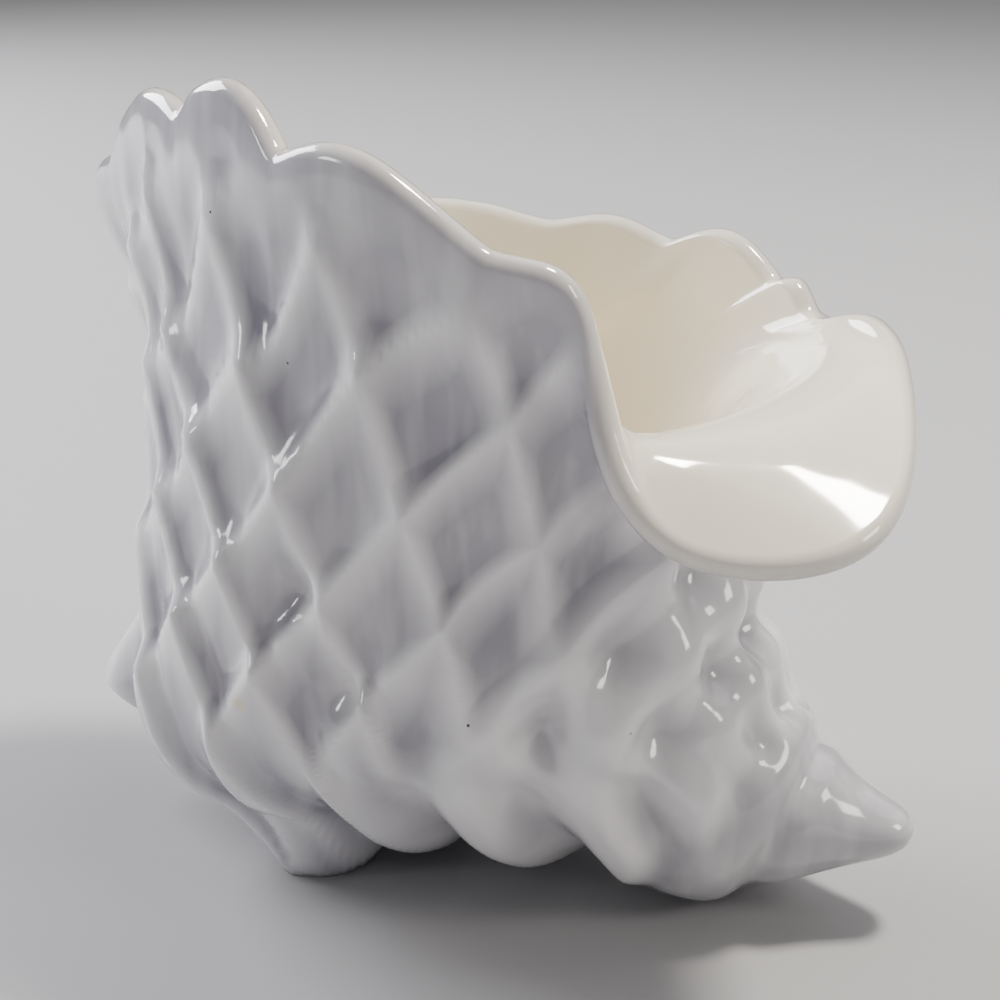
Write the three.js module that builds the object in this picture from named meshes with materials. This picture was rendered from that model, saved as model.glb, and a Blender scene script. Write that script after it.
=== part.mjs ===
// A conch-shell vase: one slip-cast ceramic wall with its mouth on top, lying on its spire and two
// feet. Millimetres, +Z up, and +X runs towards the tip of the spire.
import * as THREE from 'three';

// ---- Driving dimensions ----
const WALL = 6;
const THINNEST = 4.5;          // the wall left behind the deepest hollow
const RIM_FLARE = 4.5;         // how far the rim rolls outwards
const RIM_BEAD = 1.2;          // how much thicker the wall is at the rim
const INNER_RELIEF = 0.3;      // share of the outside relief that shows on the inside
const MIDDLE_Y = 2;            // the shell's axis lies in this plane
const SPIRE_AXIS = { x: 49, z: 44, tilt: 41 };   // a point on it, and its rise in degrees
const BODY_AXIS = { x: 30, lean: 0.326 };        // the ribs of the body stand around this line

// Rings from the tip of the spire to just below the rim. Each is a tilted ellipse: its lowest and
// highest points in the X-Z plane, its half width along Y, and the Y of its middle.
const RINGS = [
  { low: [127, 27], high: [127, 27], half: 0, y: 0 },
  { low: [126, 22.5], high: [126, 31.5], half: 6, y: 0 },
  { low: [120, 19], high: [120, 34], half: 9.5, y: 0 },
  { low: [107, 14], high: [112, 38], half: 14, y: 0 },
  { low: [90, 6], high: [104, 46], half: 22, y: 0 },
  { low: [70, -5], high: [95, 58], half: 31, y: 0 },
  { low: [42, 13], high: [82, 78], half: 43, y: 0 },
  { low: [8, 6], high: [79, 98], half: 54, y: 0 },
  { low: [-34, 10], high: [75, 112], half: 63, y: 2 },
  { low: [-76, 9], high: [74, 121], half: 69, y: 3 },
  { low: [-95, 36], high: [77, 129], half: 72, y: 4 },
  { low: [-86, 88], high: [84, 136], half: 73, y: 4 },
  { low: [-80, 135], high: [98, 144], half: 70, y: 2 },
];

// Line of the rim under its lobes, every 15 degrees: from the middle of the lip along the front,
// round the high end and back along the far side.
const RIM = [
  [113, 0, 150], [122, -34, 138], [118, -66, 124], [72, -73, 121], [59, -62, 153], [53, -67, 178],
  [19, -69, 187], [-7, -64, 197], [-28, -52, 201], [-56, -36, 205], [-79, -14, 196], [-104, 6, 177],
  [-116, 28, 161], [-106, 45, 164], [-82, 56, 165], [-54, 64, 165], [-24, 67, 164], [3, 68, 163],
  [30, 66, 161], [52, 60, 161], [73, 50, 157], [86, 38, 148], [99, 23, 157], [108, 11, 154],
];

// Lobes of the rim: degrees at which each starts and ends, height, and a power that rounds it.
const LOBES = [
  { from: 57, to: 83, height: 6, power: 1.5 },
  { from: 83, to: 112, height: 9, power: 1.2 },
  { from: 112, to: 133, height: 11, power: 0.9 },
  { from: 133, to: 157, height: 7, power: 0.9 },
  { from: 157, to: 178, height: 5, power: 0.9 },
  { from: 178, to: 201, height: 5, power: 1 },
  { from: 201, to: 224, height: 4, power: 1.3 },
  { from: 224, to: 254, height: 3, power: 1.5 },
  { from: 254, to: 276, height: 4, power: 1.5 },
  { from: 276, to: 300, height: 6, power: 1.1 },
  { from: 300, to: 312, height: 4, power: 1.3 },
];

// Cords cross the shell at these places along the spire's axis, from the spire to the high end.
const CORDS = [-52, -32, -12, 6, 29, 54, 78, 102, 126, 150, 174, 198];
// Below its knee height the planes of the cords turn upright. Soft is the knee's radius.
const CORD_KNEE = { z: 54, slope: -0.4, soft: 10 };
// Ribs stand at these degrees around the body's axis and, the same ribs, around the spire's.
const BODY_RIBS = [13, 27, 49, 70.5, 93, 113, 131, 150, 175, 202, 231, 260, 289, 317, 345, 373];
const SPIRE_RIBS = [-1, 24, 52, 80, 108, 132, 155, 178, 200, 222, 245, 268, 291, 313, 336, 359];
// Degrees that the ribs of the spire turn by, at places along its axis.
const SPIRE_TWIST = { at: [-40, -17, 3, 25], turn: [30, 26, 18, 8] };
const RIB_COUNT = BODY_RIBS.length - 1;
const ribIndex = BODY_RIBS.map((_, i) => i);
const cordIndex = CORDS.map((_, i) => i);

// Relief of the high body, the low body and the spire. Heights of ribs, cords and the knots where
// they cross, and the level that the smooth wall has between them. A rib or cord falls over the
// share drop of the way to the next one, by the power fall, and climbs back by the power rise.
const HIGH = {
  rib: { height: 3.2, drop: 0.36, fall: 1.6, rise: 2 },
  cord: { height: 2.3, drop: 0.26, fall: 1.4, rise: 1.4 },
  knot: 0.3,
  level: 1.8,
};
const LOW = {
  rib: { height: 3.8, drop: 0.22, fall: 1.3, rise: 0.8 },
  cord: { height: 2.4, drop: 0.24, fall: 1.3, rise: 1 },
  knot: 1.2,
  level: 2.2,
};
const SPIRE = {
  rib: { height: 4.6 },
  cord: { height: 5.8 },
  knot: -1.4,
  level: 5.6,
  roundness: 1.1,
};
// Low on the spire the cords stand alone as columns. It gives the heights between which they take
// over from the knots.
const COLUMN = { cord: 9, level: 5, from: 58, to: 42 };
// Towards the tip the knots get lower: places along the axis, and what is left of them.
const NARROWING = { from: 10, to: -20, left: 0.6 };
const SUTURE = { ring: 4.15, width: 0.28, depth: 2.5 };

// Zones of the pattern. Each pair is where a change starts and where it is complete: a distance
// along the spire's axis, a height, a ring number or an angle in degrees.
const SPIRE_START = [50, 20];
const LOW_BODY = [115, 70];
const SPIRE_RIB_START = [48, 22];
const SPIRE_MIDDLE = { from: 10, rise: 0.3 };    // the spire's ribs meet higher towards the tip
const CORD_CLIMB = { cords: 0.28, x: [0, 50], z: [100, 150] };
const RIB_FAN = { ribs: 1.5, z: [70, 190], front: [75, 150], back: [320, 230] };
const LIP_FAN = { ribs: 0.8, z: [100, 160], fromLip: [55, 25] };
const CLEAR_OF_AXIS = [6, 30];                   // the ribs fade out where they would all meet
const PLAIN_TIP = { along: [-34, -22], ring: [3.9, 4.7] };
const PLAIN_LIP = { ring: [9.8, 11.2], fromLip: [62, 46] };
const PLAIN_RIM = { ring: [12.5, 12.95], share: 0.9 };
const RIM_EDGE = 12.3;                           // ring number at which the rim starts to roll
const LOBE_START = 10.8;                         // ring number at which the lobes start to rise

// Feet and the horn: a place on the wall, how far it is drawn out, and the radius that moves.
const HORNS = [
  { at: [-31, -22, 16], out: [1, -1, -27], radius: 30 },
  { at: [-32, 29, 16], out: [0, 1, -27], radius: 28 },
  { at: [-96, 2, 42], out: [-26, 4, -14], radius: 27 },
];
// Deep pits between the knots of the front.
const PITS = [
  { x: 42, z: 65, radius: 8, depth: 2.5 },
  { x: 56, z: 87, radius: 8, depth: 2.5 },
  { x: 69, z: 62, radius: 7, depth: 2 },
  { x: -15, z: 99, radius: 8, depth: 5 },
  { x: -3, z: 76, radius: 8, depth: 5 },
];

// ---- Mesh density ----
const COLUMNS = 84;
const OUTER_ROWS = 38;
const ROLL_ROWS = 3;           // rows around the rounded rim
const INNER_ROWS = 16;
const OUTER_START = 0.3;       // ring number of the first row, around the tip
const INNER_END = 2.8;         // ring number at which the hollow ends inside the spire

const LAST_RING = RINGS.length;
const TURN = 2 * Math.PI;
const { clamp, degToRad, lerp, radToDeg } = THREE.MathUtils;

function smooth(from, to, x) {
  const t = clamp((x - from) / (to - from), 0, 1);
  return t * t * (3 - 2 * t);
}

const wrap = (x, low, span) => x - span * Math.floor((x - low) / span);

// Piecewise linear value at x.
function interpolate(places, values, x) {
  const next = places.findIndex((place) => x <= place);
  if (next === 0) return values[0];
  if (next < 0) return values[values.length - 1];
  const share = (x - places[next - 1]) / (places[next] - places[next - 1]);
  return lerp(values[next - 1], values[next], share);
}

function splineWeights(t) {
  return [
    (1 - t) ** 3 / 6,
    (3 * t ** 3 - 6 * t * t + 4) / 6,
    (-3 * t ** 3 + 3 * t * t + 3 * t + 1) / 6,
    t ** 3 / 6,
  ];
}

// ---- The smooth wall, by ring number and angle around the ring ----
function ringPoint(ring, angle) {
  const [lowX, lowZ] = ring.low;
  const [highX, highZ] = ring.high;
  const c = Math.cos(angle) / 2;
  return new THREE.Vector3(
    (lowX + highX) / 2 + c * (highX - lowX),
    ring.y - ring.half * Math.sin(angle),
    (lowZ + highZ) / 2 + c * (highZ - lowZ),
  );
}

function rimPoint(angle) {
  const place = wrap(angle / TURN, 0, 1) * RIM.length;
  const first = Math.floor(place);
  const point = new THREE.Vector3();
  splineWeights(place - first).forEach((weight, k) => {
    const index = (first - 1 + k + RIM.length) % RIM.length;
    point.addScaledVector(new THREE.Vector3(...RIM[index]), weight);
  });
  return point;
}

// Control point number k of the wall's spline at an angle, carried on past both ends.
function wallControl(k, angle) {
  const at = (i) => (i < LAST_RING ? ringPoint(RINGS[i], angle) : rimPoint(angle));
  if (k < 0) return at(0).multiplyScalar(2).sub(at(1));
  if (k > LAST_RING) return at(LAST_RING).multiplyScalar(2).sub(at(LAST_RING - 1));
  return at(k);
}

function wallPoint(ring, angle) {
  const first = clamp(Math.floor(ring), 0, LAST_RING - 1);
  const point = new THREE.Vector3();
  splineWeights(ring - first).forEach((weight, k) => {
    point.addScaledVector(wallControl(first - 1 + k, angle), weight);
  });
  return point;
}

function wallNormal(ring, angle) {
  const e = 0.001;
  const r = clamp(ring, 0.02, LAST_RING - 2 * e);
  const upward = wallPoint(r + e, angle).sub(wallPoint(r - e, angle));
  const around = wallPoint(r, angle + e).sub(wallPoint(r, angle - e));
  return upward.cross(around).normalize();
}

// ---- Ribs and cords ----
function cordHeight(z) {
  const { z: knee, slope, soft } = CORD_KNEE;
  const over = z - knee;
  return knee + (1 + slope) / 2 * over + (1 - slope) / 2 * (Math.hypot(over, soft) - 0.3 * soft);
}

// Distance along the spire's axis, towards the high end, and height above it.
function axial(x, z) {
  const tilt = degToRad(SPIRE_AXIS.tilt);
  const dx = x - SPIRE_AXIS.x;
  const dz = z - SPIRE_AXIS.z;
  return {
    along: -Math.cos(tilt) * dx + Math.sin(tilt) * dz,
    above: Math.sin(tilt) * dx + Math.cos(tilt) * dz,
  };
}

function cordNumber(point) {
  const place = axial(point.x, cordHeight(point.z)).along;
  const climb = smooth(...CORD_CLIMB.x, point.x) * smooth(...CORD_CLIMB.z, point.z);
  return interpolate(CORDS, cordIndex, place) + CORD_CLIMB.cords * climb;
}


// Place across the ribs of the body. They fan out towards the rim at the high end and by the lip.
function bodyRibNumber(point) {
  const { x, y, z } = point;
  const angle = radToDeg(Math.atan2(MIDDLE_Y - y, x + BODY_AXIS.lean * z - BODY_AXIS.x));
  const around = wrap(angle, BODY_RIBS[0], 360);
  const fan = smooth(...RIB_FAN.z, z)
    * smooth(...RIB_FAN.front, around)
    * smooth(...RIB_FAN.back, around);
  const fromLip = Math.abs(wrap(angle, -180, 360));
  const lipFan = smooth(...LIP_FAN.z, z) * smooth(...LIP_FAN.fromLip, fromLip);
  return interpolate(BODY_RIBS, ribIndex, around) - RIB_FAN.ribs * fan - LIP_FAN.ribs * lipFan;
}

function spireRibNumber(point, place) {
  const middle = SPIRE_MIDDLE.rise * Math.max(0, SPIRE_MIDDLE.from - place.along);
  const angle = radToDeg(Math.atan2(MIDDLE_Y - point.y, place.above - middle));
  const turn = interpolate(SPIRE_TWIST.at, SPIRE_TWIST.turn, place.along);
  return interpolate(SPIRE_RIBS, ribIndex, wrap(angle - turn, SPIRE_RIBS[0], 360));
}

function ribNumber(point, place) {
  const body = bodyRibNumber(point);
  const spire = spireRibNumber(point, place);
  const sameTurn = spire + RIB_COUNT * Math.round((body - spire) / RIB_COUNT);
  return lerp(body, sameTurn, smooth(...SPIRE_RIB_START, place.along));
}

// A scale's height across it: a sharp crest on whole numbers, steep on one side.
function scaleProfile(x, { drop, fall, rise }) {
  const f = x - Math.floor(x);
  return f < drop ? (1 - f / drop) ** fall : ((f - drop) / (1 - drop)) ** rise;
}

const knotProfile = (x) => 1 - (Math.sin(Math.PI * x) ** 2) ** SPIRE.roundness;

// ---- Relief above the smooth wall ----
function pattern(point, place) {
  const rib = ribNumber(point, place);
  const cord = cordNumber(point);
  const onSpire = smooth(...SPIRE_START, place.along);
  const low = smooth(...LOW_BODY, point.z) * (1 - onSpire);
  const blend = (high, lower, spire) => lerp(lerp(high, lower, low), spire, onSpire);
  const ribAway = Math.hypot(point.x + BODY_AXIS.lean * point.z - BODY_AXIS.x, point.y - MIDDLE_Y);
  const ribShown = lerp(smooth(...CLEAR_OF_AXIS, ribAway), 1, onSpire);
  const scales = blend(
    scaleProfile(-rib, HIGH.rib),
    scaleProfile(-rib, LOW.rib),
    knotProfile(rib),
  );
  const ribs = lerp(0.5, scales, ribShown);
  const cords = blend(
    scaleProfile(cord, HIGH.cord),
    scaleProfile(cord, LOW.cord),
    knotProfile(cord),
  );
  const knots = blend(HIGH.rib.height, LOW.rib.height, SPIRE.rib.height) * ribs
    + blend(HIGH.cord.height, LOW.cord.height, SPIRE.cord.height) * cords
    + blend(HIGH.knot, LOW.knot, SPIRE.knot) * ribs * cords
    - blend(HIGH.level, LOW.level, SPIRE.level);
  const left = lerp(1, NARROWING.left, smooth(NARROWING.from, NARROWING.to, place.along));
  const column = onSpire * smooth(COLUMN.from, COLUMN.to, point.z);
  return lerp(knots * left, COLUMN.cord * cords - COLUMN.level, column);
}

// The tip, the lip and the edge of the rim are plain.
function patternShown(ring, angle, place) {
  const fromLip = Math.abs(wrap(radToDeg(angle), -180, 360));
  const lip = smooth(...PLAIN_LIP.ring, ring) * smooth(...PLAIN_LIP.fromLip, fromLip);
  const rim = PLAIN_RIM.share * smooth(...PLAIN_RIM.ring, ring);
  const tip = smooth(...PLAIN_TIP.along, place.along) * smooth(...PLAIN_TIP.ring, ring);
  return tip * (1 - rim) * (1 - lip);
}

function pitDepth(point) {
  if (point.y > 0) return 0;
  return PITS.reduce((sum, pit) => {
    const away = Math.hypot(point.x - pit.x, point.z - pit.z) / pit.radius;
    return sum + pit.depth * Math.exp(-away * away);
  }, 0);
}

function relief(ring, angle, point) {
  const place = axial(point.x, point.z);
  const suture = SUTURE.depth * Math.exp(-(((ring - SUTURE.ring) / SUTURE.width) ** 2));
  return pattern(point, place) * patternShown(ring, angle, place) - suture - pitDepth(point);
}

function lobeHeight(angle) {
  const turned = wrap(radToDeg(angle), 0, 360);
  const lobe = LOBES.find(({ from, to }) => turned > from && turned < to);
  if (!lobe) return 0;
  const share = (turned - lobe.from) / (lobe.to - lobe.from);
  return lobe.height * Math.sin(Math.PI * share) ** lobe.power;
}

function drawHorns(point, smoothPoint) {
  for (const { at, out, radius } of HORNS) {
    const away = smoothPoint.distanceTo(new THREE.Vector3(...at));
    point.addScaledVector(new THREE.Vector3(...out), smooth(radius, 0, away));
  }
}

function surfacePoint(ring, angle, inside) {
  const smoothPoint = wallPoint(ring, angle);
  const height = relief(ring, angle, smoothPoint);
  const edge = smooth(RIM_EDGE, LAST_RING, ring);
  const inner = Math.min(INNER_RELIEF * height - WALL, height - THINNEST) - RIM_BEAD * edge;
  const move = (inside ? inner : height) + RIM_FLARE * edge;
  const point = smoothPoint.clone().addScaledVector(wallNormal(ring, angle), move);
  point.z += lobeHeight(angle) * smooth(LOBE_START, LAST_RING, ring);
  if (!inside) {
    drawHorns(point, smoothPoint);
    point.z = Math.max(point.z, 0);
  }
  return point;
}

// ---- Mesh ----
function wallRows(from, to, count, inside) {
  return Array.from({ length: count }, (_, k) => {
    const ring = lerp(from, to, k / (count - 1));
    return Array.from({ length: COLUMNS }, (_c, i) => surfacePoint(ring, TURN * i / COLUMNS, inside));
  });
}

// Rows on a half circle from the outside of the rim over to the inside.
function rollRows(belowRim, outerRim, innerRim) {
  return Array.from({ length: ROLL_ROWS }, (_, k) => {
    const turn = Math.PI * (k + 1) / (ROLL_ROWS + 1);
    return outerRim.map((outer, i) => {
      const middle = outer.clone().add(innerRim[i]).multiplyScalar(0.5);
      const half = outer.clone().sub(innerRim[i]).multiplyScalar(0.5);
      const across = half.clone().normalize();
      const upward = outer.clone().sub(belowRim[i]);
      upward.addScaledVector(across, -upward.dot(across)).setLength(half.length());
      return middle.addScaledVector(half, Math.cos(turn)).addScaledVector(upward, Math.sin(turn));
    });
  });
}

function shellRows() {
  const outer = wallRows(OUTER_START, LAST_RING, OUTER_ROWS, false);
  const inner = wallRows(LAST_RING, INNER_END, INNER_ROWS, true);
  const roll = rollRows(outer[OUTER_ROWS - 2], outer[OUTER_ROWS - 1], inner[0]);
  return [...outer, ...roll, ...inner];
}

function centre(points) {
  return points.reduce((sum, p) => sum.add(p), new THREE.Vector3()).divideScalar(points.length);
}

function shellGeometry() {
  const rows = shellRows();
  const lastRow = rows.length - 1;
  const points = [wallPoint(0, 0), ...rows.flat(), centre(rows[lastRow])];
  const lastPoint = points.length - 1;
  const corner = (r, i) => 1 + r * COLUMNS + i % COLUMNS;
  const indices = [];
  for (let i = 0; i < COLUMNS; i++) {
    indices.push(0, corner(0, i), corner(0, i + 1));
    indices.push(lastPoint, corner(lastRow, i + 1), corner(lastRow, i));
    for (let r = 0; r < lastRow; r++) {
      indices.push(corner(r, i), corner(r + 1, i), corner(r + 1, i + 1));
      indices.push(corner(r, i), corner(r + 1, i + 1), corner(r, i + 1));
    }
  }
  const geometry = new THREE.BufferGeometry().setFromPoints(points);
  geometry.setIndex(indices);
  geometry.computeVertexNormals();
  return geometry;
}

// Puts the middle of the underside of the bounding box at the origin.
function settle(geometry) {
  geometry.computeBoundingBox();
  const box = geometry.boundingBox;
  const middle = box.getCenter(new THREE.Vector3());
  return geometry.translate(-middle.x, -middle.y, -box.min.z);
}

const glaze = new THREE.MeshStandardMaterial({ color: 0xe8e5e2, roughness: 0.12, metalness: 0 });
const shell = new THREE.Mesh(settle(shellGeometry()), glaze);
shell.name = 'conch_shell_vase';

const group = new THREE.Group();
group.add(shell);
export default group;
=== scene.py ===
"""Looks of the conch-shell vase: one glazed ceramic wall, worked out on a fine grid.

The wall is a loft through tilted rings, from the tip of the spire to the rim of the mouth. Ribs,
cords and knots are moved along its normal, and the whole is fitted to the box of the CAD solid.
Shape constants are in millimetres and degrees. Everything in the scene is in metres.
"""

import math

import bpy
import numpy as np
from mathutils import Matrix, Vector


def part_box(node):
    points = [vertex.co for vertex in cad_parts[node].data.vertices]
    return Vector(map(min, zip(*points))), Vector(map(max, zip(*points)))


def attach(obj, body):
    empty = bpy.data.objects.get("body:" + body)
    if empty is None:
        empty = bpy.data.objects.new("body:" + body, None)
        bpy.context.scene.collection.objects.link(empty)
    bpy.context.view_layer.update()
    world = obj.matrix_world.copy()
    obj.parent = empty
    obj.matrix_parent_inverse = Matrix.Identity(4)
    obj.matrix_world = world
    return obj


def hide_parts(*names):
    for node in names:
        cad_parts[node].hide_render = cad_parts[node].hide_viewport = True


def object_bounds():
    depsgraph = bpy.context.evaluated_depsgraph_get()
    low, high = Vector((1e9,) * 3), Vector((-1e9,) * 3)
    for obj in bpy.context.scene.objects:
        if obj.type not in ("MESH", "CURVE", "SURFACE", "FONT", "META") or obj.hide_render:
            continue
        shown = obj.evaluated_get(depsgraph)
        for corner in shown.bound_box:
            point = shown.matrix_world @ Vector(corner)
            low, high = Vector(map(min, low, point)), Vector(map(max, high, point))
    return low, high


NODE = "conch_shell_vase"

# ---- Shape of the wall ----
WALL = 6
THINNEST = 4.5  # the wall left behind the deepest hollow
INNER_RELIEF = 0.3  # share of the outside relief that shows on the inside
RIM_FLARE = 4.5  # how far the rim rolls outwards
RIM_BEAD = 1.2  # how much thicker the wall is at the rim
MIDDLE_Y = 2  # the shell's axis lies in this plane
SPIRE_AXIS = {"x": 49, "z": 44, "tilt": 41}  # a point on it, and its rise in degrees
BODY_AXIS = {"x": 30, "lean": 0.326}  # the ribs of the body stand around this line

# Rings from the tip of the spire to just below the rim: lowest and highest point in the X-Z plane,
# half width along Y, and the Y of the middle.
RINGS = [
    ((127, 27), (127, 27), 0, 0),
    ((126, 22.5), (126, 31.5), 6, 0),
    ((120, 19), (120, 34), 9.5, 0),
    ((107, 14), (112, 38), 14, 0),
    ((90, 6), (104, 46), 22, 0),
    ((70, -5), (95, 58), 31, 0),
    ((42, 13), (82, 78), 43, 0),
    ((8, 6), (79, 98), 54, 0),
    ((-34, 10), (75, 112), 63, 2),
    ((-76, 9), (74, 121), 69, 3),
    ((-95, 36), (77, 129), 72, 4),
    ((-86, 88), (84, 136), 73, 4),
    ((-80, 135), (98, 144), 70, 2),
]
LAST_RING = len(RINGS)

# Line of the rim under its lobes, every 15 degrees: from the middle of the lip along the front,
# round the high end and back along the far side.
RIM = np.array([
    (113, 0, 150), (122, -34, 138), (118, -66, 124), (72, -73, 121), (59, -62, 153), (53, -67, 178),
    (19, -69, 187), (-7, -64, 197), (-28, -52, 201), (-56, -36, 205), (-79, -14, 196), (-104, 6, 177),
    (-116, 28, 161), (-106, 45, 164), (-82, 56, 165), (-54, 64, 165), (-24, 67, 164), (3, 68, 163),
    (30, 66, 161), (52, 60, 161), (73, 50, 157), (86, 38, 148), (99, 23, 157), (108, 11, 154),
], float)

# Lobes of the rim: degrees at which each starts and ends, height, and a power that rounds it.
LOBES = [
    (57, 83, 6, 1.5),
    (83, 112, 9, 1.2),
    (112, 133, 11, 0.9),
    (133, 157, 7, 0.9),
    (157, 178, 5, 0.9),
    (178, 201, 5, 1),
    (201, 224, 4, 1.3),
    (224, 254, 3, 1.5),
    (254, 276, 4, 1.5),
    (276, 300, 6, 1.1),
    (300, 312, 4, 1.3),
]

# Cords cross the shell at these places along the spire's axis.
CORDS = [-52, -32, -12, 6, 29, 54, 78, 102, 126, 150, 174, 198]
# Below its knee height the planes of the cords turn upright. Soft is the knee's radius, and cut is
# the share of it that the knee gives up.
CORD_KNEE = {"z": 54, "slope": -0.4, "soft": 10, "cut": 0.3}
# The same ribs in degrees around the body's axis and around the spire's.
BODY_RIBS = [13, 27, 49, 70.5, 93, 113, 131, 150, 175, 202, 231, 260, 289, 317, 345, 373]
SPIRE_RIBS = [-1, 24, 52, 80, 108, 132, 155, 178, 200, 222, 245, 268, 291, 313, 336, 359]
# Degrees that the ribs of the spire turn by, at places along its axis.
SPIRE_TWIST = ([-40, -17, 3, 25], [30, 26, 18, 8])
RIB_COUNT = len(BODY_RIBS) - 1

# Relief of each zone: height, drop, fall and rise of ribs and of cords, height of knots, level.
HIGH = {"rib": (3.2, 0.36, 1.6, 2), "cord": (2.3, 0.26, 1.4, 1.4), "knot": 0.3, "level": 1.8}
LOW = {"rib": (3.8, 0.22, 1.3, 0.8), "cord": (2.4, 0.24, 1.3, 1), "knot": 1.2, "level": 2.2}
SPIRE = {"rib": 4.6, "cord": 5.8, "knot": -1.4, "level": 5.6, "roundness": 1.1}
# Low on the spire the cords stand alone as columns: heights between which they take over.
COLUMN = {"cord": 9, "level": 5, "from": 58, "to": 42}
# Towards the tip the knots get lower: places along the axis, and what is left of them.
NARROWING = {"from": 10, "to": -20, "left": 0.6}
# The groove between the spire's last turn and its plain tip.
SUTURE = {"ring": 4.15, "width": 0.28, "depth": 2.5}

# Zones of the pattern. Each pair is where a change starts and where it is complete: a distance
# along the spire's axis, a height, a ring number or an angle in degrees.
SPIRE_START = (50, 20)
LOW_BODY = (115, 70)
SPIRE_RIB_START = (48, 22)
SPIRE_MIDDLE = {"from": 10, "rise": 0.3}  # the spire's ribs meet higher towards the tip
CORD_CLIMB = {"cords": 0.28, "x": (0, 50), "z": (100, 150)}
RIB_FAN = {"ribs": 1.5, "z": (70, 190), "front": (75, 150), "back": (320, 230)}
LIP_FAN = {"ribs": 0.8, "z": (100, 160), "from_lip": (55, 25)}
CLEAR_OF_AXIS = (6, 30)  # the ribs fade out where they would all meet
FADED_RIB = 0.5  # the share of a rib's height that is left there
PLAIN_TIP = {"along": (-34, -22), "ring": (3.9, 4.7)}
PLAIN_LIP = {"ring": (9.8, 11.2), "from_lip": (62, 46)}
PLAIN_RIM = {"ring": (12.5, 12.95), "share": 0.9}
RIM_EDGE = 12.3  # ring number at which the rim starts to roll
LOBE_START = 10.8  # ring number at which the lobes start to rise
PLAIN_CREST = 0.5  # how near to a crest a plain stretch of the wall counts

# Feet and horn: a place on the wall, how far it is drawn out, and the radius that moves.
HORNS = [
    ((-31, -22, 16), (1, -1, -27), 30),
    ((-32, 29, 16), (0, 1, -27), 28),
    ((-96, 2, 42), (-26, 4, -14), 27),
]
# Deep pits between the knots of the front: x, z, radius, depth.
PITS = [(42, 65, 8, 2.5), (56, 87, 8, 2.5), (69, 62, 7, 2), (-15, 99, 8, 5), (-3, 76, 8, 5)]

# ---- Grid ----
COLUMNS = 400
OUTER_ROWS = 196
ROLL_ROWS = 7  # rows around the rounded rim
ROLL_INSIDE = (0.1, 0.9)  # how much the first and the last of them take the inside's colour
INNER_ROWS = 40
OUTER_START = 0.08  # ring number of the first row, around the tip
INNER_END = 2.8  # ring number at which the hollow ends inside the spire
STEP = 0.001  # step along the wall by which its slope is measured
CLEAR_OF_TIP = 0.02  # the tip has no slope, so it takes the slope of this ring number


def smooth(start, end, x):
    t = np.clip((x - start) / (end - start), 0, 1)
    return t * t * (3 - 2 * t)


def lerp(a, b, t):
    return a + (b - a) * t


def wrap(x, low, span):
    return (x - low) % span + low


def spline_weights(t):
    return (
        (1 - t) ** 3 / 6,
        (3 * t**3 - 6 * t**2 + 4) / 6,
        (-3 * t**3 + 3 * t**2 + 3 * t + 1) / 6,
        t**3 / 6,
    )


# ---- The smooth wall ----
def ring_points(ring, angle):
    (low_x, low_z), (high_x, high_z), half_width, y = ring
    c = np.cos(angle) / 2
    return np.stack([
        (low_x + high_x) / 2 + c * (high_x - low_x),
        y - half_width * np.sin(angle),
        (low_z + high_z) / 2 + c * (high_z - low_z),
    ], -1)


def rim_points(angle):
    place = wrap(angle / (2 * np.pi), 0, 1) * len(RIM)
    first = np.floor(place).astype(int)
    weights = spline_weights(place - first)
    return sum(w[..., None] * RIM[(first - 1 + k) % len(RIM)] for k, w in enumerate(weights))


def wall_points(ring, angle):
    """Points of the smooth wall. ring counts from the tip to the rim, angle goes round."""
    controls = [ring_points(r, angle) for r in RINGS] + [rim_points(angle)]
    controls = [2 * controls[0] - controls[1], *controls, 2 * controls[-1] - controls[-2]]
    controls = np.stack(controls)
    first = np.clip(np.floor(ring).astype(int), 0, LAST_RING - 1)
    total = 0
    for k, weight in enumerate(spline_weights(ring - first)):
        chosen = np.take_along_axis(controls, (first + k)[None, ..., None], 0)[0]
        total = total + weight[..., None] * chosen
    return total


def wall_normals(ring, angle):
    ring = np.clip(ring, CLEAR_OF_TIP, LAST_RING - 2 * STEP)
    upward = wall_points(ring + STEP, angle) - wall_points(ring - STEP, angle)
    around = wall_points(ring, angle + STEP) - wall_points(ring, angle - STEP)
    normal = np.cross(upward, around)
    return normal / np.linalg.norm(normal, axis=-1, keepdims=True)


# ---- Ribs and cords ----
def axial(x, z):
    """Distance along the spire's axis, towards the high end, and height above it."""
    tilt = math.radians(SPIRE_AXIS["tilt"])
    dx, dz = x - SPIRE_AXIS["x"], z - SPIRE_AXIS["z"]
    return -math.cos(tilt) * dx + math.sin(tilt) * dz, math.sin(tilt) * dx + math.cos(tilt) * dz


def bent_height(z):
    knee, slope, soft = CORD_KNEE["z"], CORD_KNEE["slope"], CORD_KNEE["soft"]
    over = z - knee
    rounded = np.hypot(over, soft) - CORD_KNEE["cut"] * soft
    return knee + (1 + slope) / 2 * over + (1 - slope) / 2 * rounded


def cord_number(p):
    x, z = p[..., 0], p[..., 2]
    place, _ = axial(x, bent_height(z))
    climb = CORD_CLIMB["cords"] * smooth(*CORD_CLIMB["x"], x) * smooth(*CORD_CLIMB["z"], z)
    return np.interp(place, CORDS, range(len(CORDS))) + climb


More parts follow.
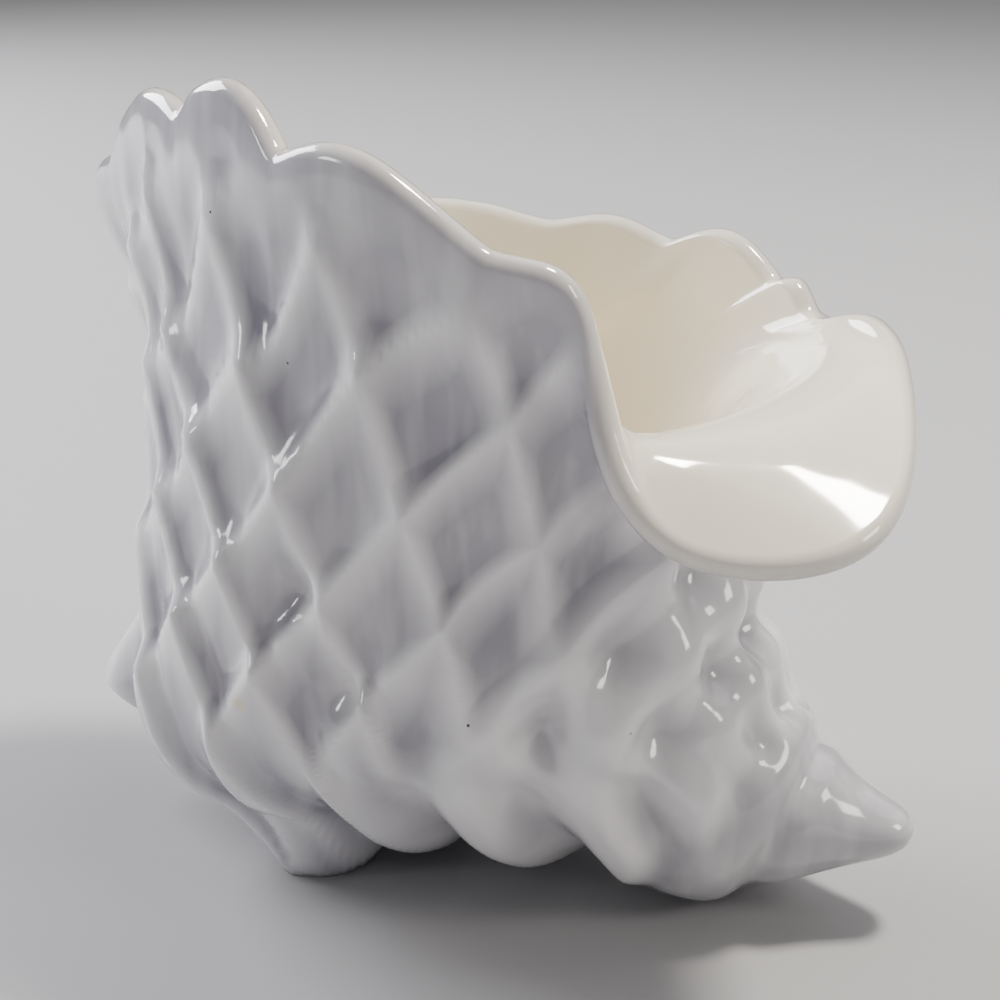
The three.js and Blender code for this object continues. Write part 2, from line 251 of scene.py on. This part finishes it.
def body_rib_number(p):
    x, y, z = np.moveaxis(p, -1, 0)
    angle = np.degrees(np.arctan2(MIDDLE_Y - y, x + BODY_AXIS["lean"] * z - BODY_AXIS["x"]))
    around = wrap(angle, BODY_RIBS[0], 360)
    fan = smooth(*RIB_FAN["z"], z) * smooth(*RIB_FAN["front"], around) * smooth(*RIB_FAN["back"], around)
    lip_fan = smooth(*LIP_FAN["z"], z) * smooth(*LIP_FAN["from_lip"], abs(wrap(angle, -180, 360)))
    ribs = np.interp(around, BODY_RIBS, range(RIB_COUNT + 1))
    return ribs - RIB_FAN["ribs"] * fan - LIP_FAN["ribs"] * lip_fan


def spire_rib_number(p, along, above):
    middle = SPIRE_MIDDLE["rise"] * np.maximum(0, SPIRE_MIDDLE["from"] - along)
    angle = np.degrees(np.arctan2(MIDDLE_Y - p[..., 1], above - middle))
    around = wrap(angle - np.interp(along, *SPIRE_TWIST), SPIRE_RIBS[0], 360)
    return np.interp(around, SPIRE_RIBS, range(RIB_COUNT + 1))


def rib_number(p, along, above):
    body = body_rib_number(p)
    spire = spire_rib_number(p, along, above)
    same_turn = spire + RIB_COUNT * np.round((body - spire) / RIB_COUNT)
    return lerp(body, same_turn, smooth(*SPIRE_RIB_START, along))


def scale_profile(x, drop, fall, rise):
    """Sharp crest on whole numbers, steep on one side."""
    f = x - np.floor(x)
    down = np.clip(1 - f / drop, 0, 1) ** fall
    up = np.clip((f - drop) / (1 - drop), 0, 1) ** rise
    return down + up


def knot_profile(x):
    return 1 - (np.sin(np.pi * x) ** 2) ** SPIRE["roundness"]


# ---- Relief ----
def pattern(p, along, above):
    """Height of ribs, cords and knots, and how near each point is to a crest.

    A hollow of the spire counts as two thirds of the way to a crest, so that the spire takes less of the
    painted shade.
    """
    rib, cord = rib_number(p, along, above), cord_number(p)
    on_spire = smooth(*SPIRE_START, along)
    low = smooth(*LOW_BODY, p[..., 2]) * (1 - on_spire)

    def blend(high, lower, spire):
        return lerp(lerp(high, lower, low), spire, on_spire)

    from_line = p[..., 0] + BODY_AXIS["lean"] * p[..., 2] - BODY_AXIS["x"]
    from_axis = np.hypot(from_line, p[..., 1] - MIDDLE_Y)
    shown = lerp(smooth(*CLEAR_OF_AXIS, from_axis), 1, on_spire)
    ribs = blend(
        scale_profile(-rib, *HIGH["rib"][1:]), scale_profile(-rib, *LOW["rib"][1:]), knot_profile(rib)
    )
    ribs = lerp(FADED_RIB, ribs, shown)
    cords = blend(
        scale_profile(cord, *HIGH["cord"][1:]), scale_profile(cord, *LOW["cord"][1:]), knot_profile(cord)
    )
    height = (
        blend(HIGH["rib"][0], LOW["rib"][0], SPIRE["rib"]) * ribs
        + blend(HIGH["cord"][0], LOW["cord"][0], SPIRE["cord"]) * cords
        + blend(HIGH["knot"], LOW["knot"], SPIRE["knot"]) * ribs * cords
        - blend(HIGH["level"], LOW["level"], SPIRE["level"])
    )
    height *= lerp(1, NARROWING["left"], smooth(NARROWING["from"], NARROWING["to"], along))
    column = on_spire * smooth(COLUMN["from"], COLUMN["to"], p[..., 2])
    height = lerp(height, COLUMN["cord"] * cords - COLUMN["level"], column)
    crest = np.maximum(ribs, cords)
    return height, lerp(crest, (2 + crest) / 3, on_spire)


def pattern_shown(ring, angle, along):
    """The tip, the lip and the edge of the rim are plain."""
    from_lip = abs(wrap(np.degrees(angle), -180, 360))
    lip = smooth(*PLAIN_LIP["ring"], ring) * smooth(*PLAIN_LIP["from_lip"], from_lip)
    rim = PLAIN_RIM["share"] * smooth(*PLAIN_RIM["ring"], ring)
    tip = smooth(*PLAIN_TIP["along"], along) * smooth(*PLAIN_TIP["ring"], ring)
    return tip * (1 - rim) * (1 - lip)


def pit_depth(p):
    depth = 0
    for x, z, radius, deep in PITS:
        away = np.hypot(p[..., 0] - x, p[..., 2] - z) / radius
        depth = depth + deep * np.exp(-away * away)
    return depth * (p[..., 1] < 0)


def lobe_height(angle):
    turned = wrap(np.degrees(angle), 0, 360)
    height = np.zeros_like(turned)
    for start, end, tall, power in LOBES:
        share = np.clip((turned - start) / (end - start), 0, 1)
        height += tall * np.maximum(np.sin(np.pi * share), 0) ** power
    return height


def surface(ring, angle, inside):
    """Points of the finished wall, and how near each is to a crest of the pattern."""
    p = wall_points(ring, angle)
    along, above = axial(p[..., 0], p[..., 2])
    height, crest = pattern(p, along, above)
    suture = SUTURE["depth"] * np.exp(-(((ring - SUTURE["ring"]) / SUTURE["width"]) ** 2))
    shown = pattern_shown(ring, angle, along)
    height = height * shown - suture - pit_depth(p)
    edge = smooth(RIM_EDGE, LAST_RING, ring)
    flare = RIM_FLARE * edge
    if inside:
        height = np.minimum(INNER_RELIEF * height - WALL, height - THINNEST) - RIM_BEAD * edge
    points = p + wall_normals(ring, angle) * (height + flare)[..., None]
    points[..., 2] += lobe_height(angle) * smooth(LOBE_START, LAST_RING, ring)
    if not inside:
        for at, out, radius in HORNS:
            share = smooth(radius, 0, np.linalg.norm(p - np.array(at), axis=-1))
            points += share[..., None] * np.array(out)
        points[..., 2] = np.maximum(points[..., 2], 0)
    return points, lerp(PLAIN_CREST, crest, shown)


def rim_roll(below, outer, inner):
    """Rows on a half circle from the outside of the rim over to the inside."""
    middle, half = (outer + inner) / 2, (outer - inner) / 2
    radius = np.linalg.norm(half, axis=-1, keepdims=True)
    across = half / radius
    upward = outer - below
    upward = upward - across * (upward * across).sum(-1, keepdims=True)
    upward *= radius / np.linalg.norm(upward, axis=-1, keepdims=True)
    turns = np.pi * np.arange(1, ROLL_ROWS + 1) / (ROLL_ROWS + 1)
    return np.stack([middle + half * math.cos(t) + upward * math.sin(t) for t in turns])


def wall_grid():
    """Rows of points over the outside, the rim and the inside, with their shading values."""
    turns = 2 * np.pi * np.arange(COLUMNS) / COLUMNS
    outer_rings = np.linspace(OUTER_START, LAST_RING, OUTER_ROWS)
    inner_rings = np.linspace(LAST_RING, INNER_END, INNER_ROWS)
    outer, outer_crest = surface(*np.meshgrid(outer_rings, turns, indexing="ij"), inside=False)
    inner, _ = surface(*np.meshgrid(inner_rings, turns, indexing="ij"), inside=True)
    roll = rim_roll(outer[-2], outer[-1], inner[0])
    points = np.concatenate([outer, roll, inner])
    crest = np.full(points.shape[:2], PLAIN_CREST)
    crest[:OUTER_ROWS] = outer_crest
    inside = np.ones(points.shape[:2])
    inside[:OUTER_ROWS] = 0
    inside[OUTER_ROWS:OUTER_ROWS + ROLL_ROWS] = np.linspace(*ROLL_INSIDE, ROLL_ROWS)[:, None]
    return points, crest, inside


def fit_to(points, low, high):
    """Moves and scales points so that they fill the box from low to high."""
    low, high = np.array(low), np.array(high)
    start, end = points.min(0), points.max(0)
    return low + (points - start) / (end - start) * (high - low)


def grid_faces(rows, columns):
    """Faces between the rows, and a fan to a middle point at each end."""
    i, j = np.meshgrid(np.arange(rows - 1), np.arange(columns), indexing="ij")
    right = (j + 1) % columns
    here, above = i * columns, (i + 1) * columns
    quads = np.stack([here + j, above + j, above + right, here + right], -1)
    edge = np.arange(columns)
    after = (edge + 1) % columns
    last = (rows - 1) * columns
    tip_fan = np.stack([np.full(columns, rows * columns), edge, after], -1)
    bottom_fan = np.stack([np.full(columns, rows * columns + 1), last + after, last + edge], -1)
    return quads.reshape(-1, 4).tolist() + tip_fan.tolist() + bottom_fan.tolist()


def make_shell(low, high):
    grid, crest, inside = wall_grid()
    end_points = grid[0].mean(0), grid[-1].mean(0)
    points = fit_to(np.vstack([grid.reshape(-1, 3), *end_points]), low, high)
    mesh = bpy.data.meshes.new("shell_wall")
    mesh.from_pydata(points.tolist(), [], grid_faces(*grid.shape[:2]))
    mesh.polygons.foreach_set("use_smooth", [True] * len(mesh.polygons))
    shades = (("crest", crest, (PLAIN_CREST, PLAIN_CREST)), ("inside", inside, (0, 1)))
    for name, values, end_values in shades:
        attribute = mesh.attributes.new(name, "FLOAT", "POINT")
        attribute.data.foreach_set("value", np.append(values.ravel(), end_values))
    mesh.update()
    shell = bpy.data.objects.new("shell_wall", mesh)
    bpy.context.collection.objects.link(shell)
    return shell


def outside_place(shell, ring, degrees):
    """Where a ring number and an angle are on the outside of the finished wall."""
    row = round((ring - OUTER_START) / (LAST_RING - OUTER_START) * (OUTER_ROWS - 1))
    column = round(degrees / 360 * COLUMNS) % COLUMNS
    return shell.data.vertices[row * COLUMNS + column].co


# ---- Glaze ----
# Painted shade: the hollows of the outside are darkened, partly for pooled glaze and partly for the
# shade they lie in.
HOLLOW_POOL_AND_SHADE = (0.29, 0.28, 0.33, 1)
OUTSIDE_CREST = (0.83, 0.82, 0.84, 1)
# Painted warm light: the inside is the same white glaze, coloured cream for the warm light that falls in
# it.
INSIDE_WARM_LIGHT = (0.95, 0.89, 0.755, 1)
SPECK = (0.07, 0.05, 0.045, 1)
STAIN = (0.78, 0.70, 0.46, 1)
# Dark pinholes of the glaze and one faint stain: ring number, degrees and radius in metres.
SPECKS = [(12.6, 122, 0.0004), (12.2, 107, 0.0004), (8.15, 80, 0.0005), (6.65, 66, 0.0004)]
STAINS = [(9.9, 107, 0.0035)]
# How near to a crest the painted shade and pooled glaze of the hollows give way to the pale crest
# colour, and where they are gone.
CREST_RANGE = (0.38, 0.97)
# Pale clouds and streaks in the glaze: scale and detail of the noise, the part of it that shows,
# and how strongly. The streaks lean with the ribs, in degrees, and are longer than wide.
CLOUDS = {"scale": 18, "detail": 3, "shows": (0.4, 0.7), "strength": 0.3}
STREAKS = {"scale": 130, "detail": 2, "shows": (0.45, 0.75), "strength": 0.35}
STREAK_LEAN = 18
STREAK_STRETCH = 9
ROUGHNESS = {"scale": 60, "detail": 2, "shows": (0.3, 0.7), "between": (0.07, 0.15)}
UNEVEN = {"scale": 40, "detail": 2, "strength": 0.3, "height": 0.001}
GLASS_IOR = 1.52
COAT = {"weight": 0.6, "roughness": 0.05}


def node(tree, kind, **settings):
    made = tree.nodes.new(kind)
    for name, value in settings.items():
        setattr(made, name, value)
    return made


def mixed(tree, factor, a, b):
    """A colour mix node. Each of factor, a and b is a socket or a plain value."""
    made = node(tree, "ShaderNodeMix", data_type="RGBA")
    for socket, value in zip((made.inputs[0], made.inputs[6], made.inputs[7]), (factor, a, b)):
        if isinstance(value, bpy.types.NodeSocket):
            tree.links.new(value, socket)
        else:
            socket.default_value = value
    return made.outputs[2]


def ramp(tree, source, start, end, first, last):
    """Maps source from start..end to first..last and keeps it within them."""
    made = node(tree, "ShaderNodeMapRange")
    tree.links.new(source, made.inputs["Value"])
    for socket, value in zip(("From Min", "From Max", "To Min", "To Max"), (start, end, first, last)):
        made.inputs[socket].default_value = value
    return made.outputs["Result"]


def noise(tree, where, kind):
    made = node(tree, "ShaderNodeTexNoise")
    made.inputs["Scale"].default_value = kind["scale"]
    made.inputs["Detail"].default_value = kind["detail"]
    tree.links.new(where, made.inputs["Vector"])
    return made.outputs["Fac"]


def spot(tree, where, place, radius, soft):
    """1 within the radius of a place, falling to 0 over the soft edge."""
    made = node(tree, "ShaderNodeVectorMath", operation="DISTANCE")
    tree.links.new(where, made.inputs[0])
    made.inputs[1].default_value = place
    return ramp(tree, made.outputs["Value"], radius, radius + soft, 1, 0)


def streaks(tree, where):
    made = node(tree, "ShaderNodeMapping")
    made.inputs["Rotation"].default_value = (0, math.radians(STREAK_LEAN), 0)
    made.inputs["Scale"].default_value = (1, 1, 1 / STREAK_STRETCH)
    tree.links.new(where, made.inputs["Vector"])
    return noise(tree, made.outputs["Vector"], STREAKS)


def glaze_colour(tree, where, shell):
    """Pale on the crests, lavender in the hollows from pooled glaze and painted shade, and cream inside
    as painted warm light.
    """
    crest = node(tree, "ShaderNodeAttribute", attribute_name="crest").outputs["Fac"]
    inside = node(tree, "ShaderNodeAttribute", attribute_name="inside").outputs["Fac"]
    # Painted shade in the hollows, partly pooled glaze; the crests keep the white glaze.
    thin_and_unshaded = ramp(tree, crest, *CREST_RANGE, 0, 1)
    colour = mixed(tree, thin_and_unshaded, HOLLOW_POOL_AND_SHADE, OUTSIDE_CREST)
    cloudy = ramp(tree, noise(tree, where, CLOUDS), *CLOUDS["shows"], 0, CLOUDS["strength"])
    colour = mixed(tree, cloudy, colour, OUTSIDE_CREST)
    streaky = ramp(tree, streaks(tree, where), *STREAKS["shows"], 0, STREAKS["strength"])
    colour = mixed(tree, streaky, colour, OUTSIDE_CREST)
    for ring, degrees, radius in STAINS:
        stained = spot(tree, where, outside_place(shell, ring, degrees), 0, radius)
        colour = mixed(tree, stained, colour, STAIN)
    # Painted warm light on the inside and across the rim.
    colour = mixed(tree, inside, colour, INSIDE_WARM_LIGHT)
    for ring, degrees, radius in SPECKS:
        dark = spot(tree, where, outside_place(shell, ring, degrees), radius / 2, radius / 2)
        colour = mixed(tree, dark, colour, SPECK)
    return colour


def glaze(shell):
    material = bpy.data.materials.new("white_glaze")
    material.use_nodes = True
    tree = material.node_tree
    shader = tree.nodes["Principled BSDF"]
    where = node(tree, "ShaderNodeTexCoord").outputs["Object"]
    tree.links.new(glaze_colour(tree, where, shell), shader.inputs["Base Color"])
    patches = noise(tree, where, ROUGHNESS)
    roughness = ramp(tree, patches, *ROUGHNESS["shows"], *ROUGHNESS["between"])
    tree.links.new(roughness, shader.inputs["Roughness"])
    shader.inputs["IOR"].default_value = GLASS_IOR
    shader.inputs["Coat Weight"].default_value = COAT["weight"]
    shader.inputs["Coat Roughness"].default_value = COAT["roughness"]

    bump = node(tree, "ShaderNodeBump")
    bump.inputs["Strength"].default_value = UNEVEN["strength"]
    bump.inputs["Distance"].default_value = UNEVEN["height"]
    tree.links.new(noise(tree, where, UNEVEN), bump.inputs["Height"])
    tree.links.new(bump.outputs["Normal"], shader.inputs["Normal"])
    return material


# ---- Studio ----
FLOOR_HALF = 40
FLOOR_COLOUR = (0.42, 0.42, 0.43, 1)
FLOOR_ROUGHNESS = 0.8
# Lamps: name, place, width and height, power and colour. They point at the middle of the shell.
LAMPS_AIM = (0, 0, 0.10)
LAMPS = [
    ("cool_left", (-2.2, 0.5, 1.3), (1.5, 1.3), 125, (0.96, 0.96, 1)),
    ("front_window", (-1.9, -1.45, 0.8), (0.35, 0.5), 8, (1, 0.98, 0.95)),
    ("warm_top", (0.54, 0.43, 2.0), (0.34, 0.3), 56, (1, 0.94, 0.84)),
    ("warm_right", (1.9, -0.2, 1.2), (0.6, 0.6), 15, (1, 0.93, 0.84)),
]
DAY = {"from": (0.3, 0.6, 1), "spread": 60, "power": 0.75}
SKY = {"colour": (0.86, 0.86, 0.92, 1), "strength": 0.15}
# The photograph's viewpoint. It looks at a place given as shares of the object's box.
CAMERA = {"azimuth": 20, "elevation": 20, "distance": 0.5, "lens": 62.5, "sensor": 36, "near": 0.01}
CAMERA_LOOKS_AT = (0.479, 0.711, 0.416)


def plain_material(name, colour, roughness):
    material = bpy.data.materials.new(name)
    material.use_nodes = True
    shader = material.node_tree.nodes["Principled BSDF"]
    shader.inputs["Base Color"].default_value = colour
    shader.inputs["Roughness"].default_value = roughness
    return material


def make_floor():
    mesh = bpy.data.meshes.new("floor")
    corners = [(x * FLOOR_HALF, y * FLOOR_HALF, 0) for x, y in ((-1, -1), (1, -1), (1, 1), (-1, 1))]
    mesh.from_pydata(corners, [], [(0, 1, 2, 3)])
    mesh.materials.append(plain_material("floor_paper", FLOOR_COLOUR, FLOOR_ROUGHNESS))
    floor = bpy.data.objects.new("floor", mesh)
    bpy.context.collection.objects.link(floor)
    return floor


def soft_light(name, place, size, power, colour):
    light = bpy.data.lights.new(name, "AREA")
    light.shape = "RECTANGLE"
    light.size, light.size_y = size
    light.energy = power
    light.color = colour
    lamp = bpy.data.objects.new(name, light)
    lamp.location = place
    lamp.rotation_euler = (Vector(LAMPS_AIM) - lamp.location).to_track_quat("-Z", "Y").to_euler()
    bpy.context.collection.objects.link(lamp)


def daylight():
    """A broad, even light from above, so that the floor stays pale all the way out."""
    light = bpy.data.lights.new("day", "SUN")
    light.energy = DAY["power"]
    light.angle = math.radians(DAY["spread"])
    sun = bpy.data.objects.new("day", light)
    sun.rotation_euler = Vector(DAY["from"]).to_track_quat("Z", "Y").to_euler()
    bpy.context.collection.objects.link(sun)


def sky():
    world = bpy.data.worlds.new("studio")
    world.use_nodes = True
    background = world.node_tree.nodes["Background"]
    background.inputs["Color"].default_value = SKY["colour"]
    background.inputs["Strength"].default_value = SKY["strength"]
    bpy.context.scene.world = world


def make_lights():
    for lamp in LAMPS:
        soft_light(*lamp)
    daylight()
    sky()


def make_camera(low, high):
    azimuth, elevation = math.radians(CAMERA["azimuth"]), math.radians(CAMERA["elevation"])
    back = Vector((
        math.sin(azimuth) * math.cos(elevation),
        -math.cos(azimuth) * math.cos(elevation),
        math.sin(elevation),
    ))
    looks_at = Vector(lerp(np.array(low), np.array(high), np.array(CAMERA_LOOKS_AT)))
    camera = bpy.data.objects.new("camera", bpy.data.cameras.new("camera"))
    camera.data.lens = CAMERA["lens"]
    camera.data.sensor_width = CAMERA["sensor"]
    camera.data.clip_start = CAMERA["near"]
    camera.location = looks_at + CAMERA["distance"] * back
    camera.rotation_euler = (-back).to_track_quat("-Z", "Y").to_euler()
    bpy.context.collection.objects.link(camera)
    bpy.context.scene.camera = camera


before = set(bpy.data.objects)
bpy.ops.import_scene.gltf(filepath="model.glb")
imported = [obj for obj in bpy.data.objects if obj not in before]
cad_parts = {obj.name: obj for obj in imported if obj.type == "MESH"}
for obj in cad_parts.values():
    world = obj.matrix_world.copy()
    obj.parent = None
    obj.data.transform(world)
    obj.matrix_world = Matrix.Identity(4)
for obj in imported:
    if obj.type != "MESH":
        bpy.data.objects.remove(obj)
cad_low, cad_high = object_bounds()

shell = make_shell(*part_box(NODE))
shell.data.materials.append(glaze(shell))
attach(shell, "root")
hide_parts(NODE)

make_floor()
make_lights()
make_camera(cad_low, cad_high)
